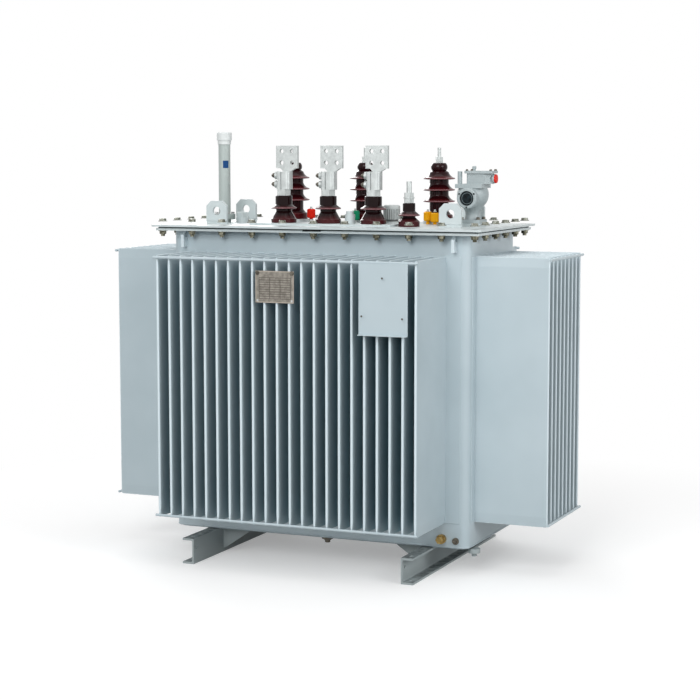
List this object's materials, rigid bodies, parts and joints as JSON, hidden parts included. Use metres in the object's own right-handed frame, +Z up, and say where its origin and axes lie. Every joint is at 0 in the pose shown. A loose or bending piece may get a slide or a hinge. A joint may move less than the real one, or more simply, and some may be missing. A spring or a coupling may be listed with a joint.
{
  "type": "oil-filled distribution transformer",
  "caption": "Sealed oil-filled distribution transformer with a corrugated-fin tank on channel skids, a bolted cover with low-voltage palms, high-voltage bushings, gauge, relay and lifting lugs.",
  "frame": {"origin": "middle of the overall outline, on the floor under the skids", "axes": "+X along the tank's long side, to the right seen from the low-voltage side; -Y toward the low-voltage side; +Z up"},
  "size_m": [1.8406, 1.1979, 1.6723],
  "materials": {
    "body_paint": "satin blue-grey enamel",
    "cover_paint": "satin light grey enamel",
    "gasket": "matt black rubber",
    "zinc": "yellow passivated zinc plate",
    "tinned_metal": "tinned casting",
    "lv_glaze": "very dark brown gloss glaze",
    "hv_glaze": "red-brown gloss glaze",
    "red_plastic": "moulded red",
    "green_plastic": "moulded green",
    "yellow_plastic": "moulded yellow",
    "gauge_paint": "light grey enamel",
    "switch_grey": "light grey moulding",
    "relay_paint": "mid grey enamel on a casting",
    "sight_glass": "dark sight glass",
    "plate_metal": "dull engraved plate left blank",
    "brass": "plain turned brass"
  },
  "bodies": {
    "root": {"bottom_plug": "body_paint", "cover_fittings": "zinc", "cover_gasket": "gasket", "cover_lugs": "cover_paint", "cover_plate": "cover_paint", "drain_valve": "brass", "earth_terminal": "tinned_metal", "fin_bars": "body_paint", "front_fins": "body_paint", "gauge_cap": "gauge_paint", "gauge_tube": "gauge_paint", "hv_bushing_a": "hv_glaze", "hv_bushing_b": "hv_glaze", "hv_bushing_c": "hv_glaze", "hv_seats": "cover_paint", "hv_studs": "tinned_metal", "instrument_plate": "body_paint", "left_fins": "body_paint", "lv_bushing_a": "lv_glaze", "lv_bushing_b": "lv_glaze", "lv_bushing_c": "lv_glaze", "lv_mount_plate": "cover_paint", "lv_terminal_a": "tinned_metal", "lv_terminal_b": "tinned_metal", "lv_terminal_c": "tinned_metal", "name_plate": "plate_metal", "neutral_bushing": "lv_glaze", "neutral_stud": "tinned_metal", "phase_marker_green": "green_plastic", "phase_marker_red": "red_plastic", "phase_marker_yellow": "yellow_plastic", "rear_fins": "body_paint", "relay_body": "relay_paint", "relay_box": "relay_paint", "relay_plug": "red_plastic", "relay_window": "sight_glass", "right_fins": "body_paint", "skid_gussets": "body_paint", "skid_left": "body_paint", "skid_right": "body_paint", "tank_body": "body_paint", "tank_flange": "cover_paint", "tank_floor_plate": "body_paint", "tank_hooks": "body_paint", "tap_changer": "switch_grey"}
  },
  "joints": []
}
